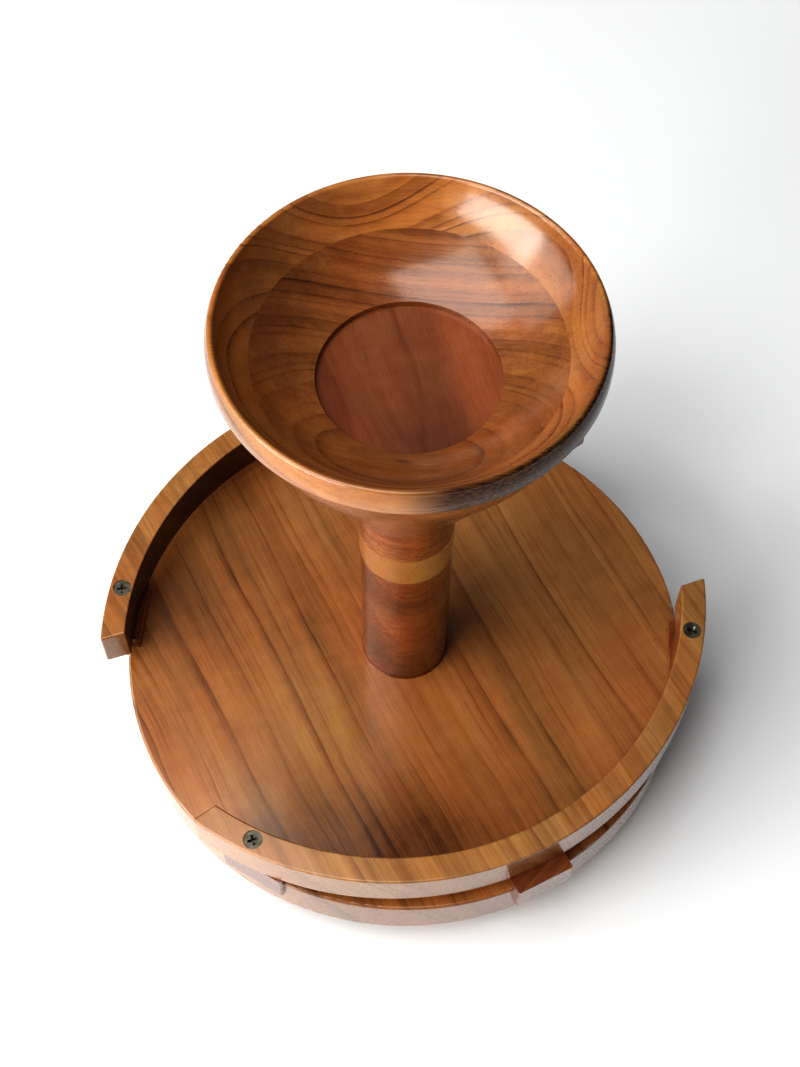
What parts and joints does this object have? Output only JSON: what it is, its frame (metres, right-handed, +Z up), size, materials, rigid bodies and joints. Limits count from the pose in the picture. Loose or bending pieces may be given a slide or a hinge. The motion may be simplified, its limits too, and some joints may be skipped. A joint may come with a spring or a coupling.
{
  "type": "revolving poker chip carousel",
  "caption": "Round wooden turntable tray with raised curved gallery rails around its edge and a central stem carrying a flared shallow bowl.",
  "frame": {"origin": "centre of the felt pad's underside, on the table, on the turning axis", "axes": "+Z up along the turning axis and stem; -Y towards the front, where the front rail's middle and left end stand; +X to the right seen from the front"},
  "size_m": [0.27, 0.2586, 0.2757],
  "materials": {
    "felt": "felt pad",
    "walnut": "gloss varnish",
    "dark_walnut": "gloss varnish",
    "light_wood": "gloss varnish",
    "plate_steel": "zinc plated",
    "cage_steel": "plain steel",
    "ball_steel": "polished",
    "screw_steel": "dark oxidised"
  },
  "bodies": {
    "foot": {"foot_pad": "felt", "foot_board": "walnut", "bearing_lower_plate": "plate_steel", "bearing_lower_screws": "plate_steel"},
    "ball_ring": {"bearing_cage": "cage_steel", "bearing_balls": "ball_steel"},
    "carousel": {"bearing_upper_plate": "plate_steel", "bearing_upper_screws": "plate_steel", "deck": "walnut", "rail_front": "walnut", "rail_back": "walnut", "spacer_front_left": "walnut", "spacer_front_middle": "walnut", "spacer_front_right": "walnut", "spacer_back_left": "walnut", "spacer_back_middle": "walnut", "spacer_back_right": "walnut", "rail_front_screws": "screw_steel", "rail_back_screws": "screw_steel", "stem_post": "dark_walnut", "stem_light_band": "light_wood", "stem_cap": "dark_walnut", "stem_lag_screw": "plate_steel", "stem_washer": "plate_steel", "bowl_collar_lower": "dark_walnut", "bowl_collar_upper": "walnut", "bowl_lower_layer": "dark_walnut", "bowl_recess_layer": "dark_walnut", "bowl_floor_ring": "walnut", "bowl_rim_ring": "light_wood"}
  },
  "joints": [
    {"name": "carousel_spin", "type": "hinge", "parent": "foot", "child": "carousel", "pos_m": [0, 0, 0], "axis": [0, 0, 1], "continuous": true},
    {"name": "ball_ring_spin", "type": "hinge", "parent": "foot", "child": "ball_ring", "pos_m": [0, 0, 0], "axis": [0, 0, 1], "continuous": true}
  ],
  "couplings": [
    {"joint": "ball_ring_spin", "follows": "carousel_spin", "ratio": 0.5}
  ]
}
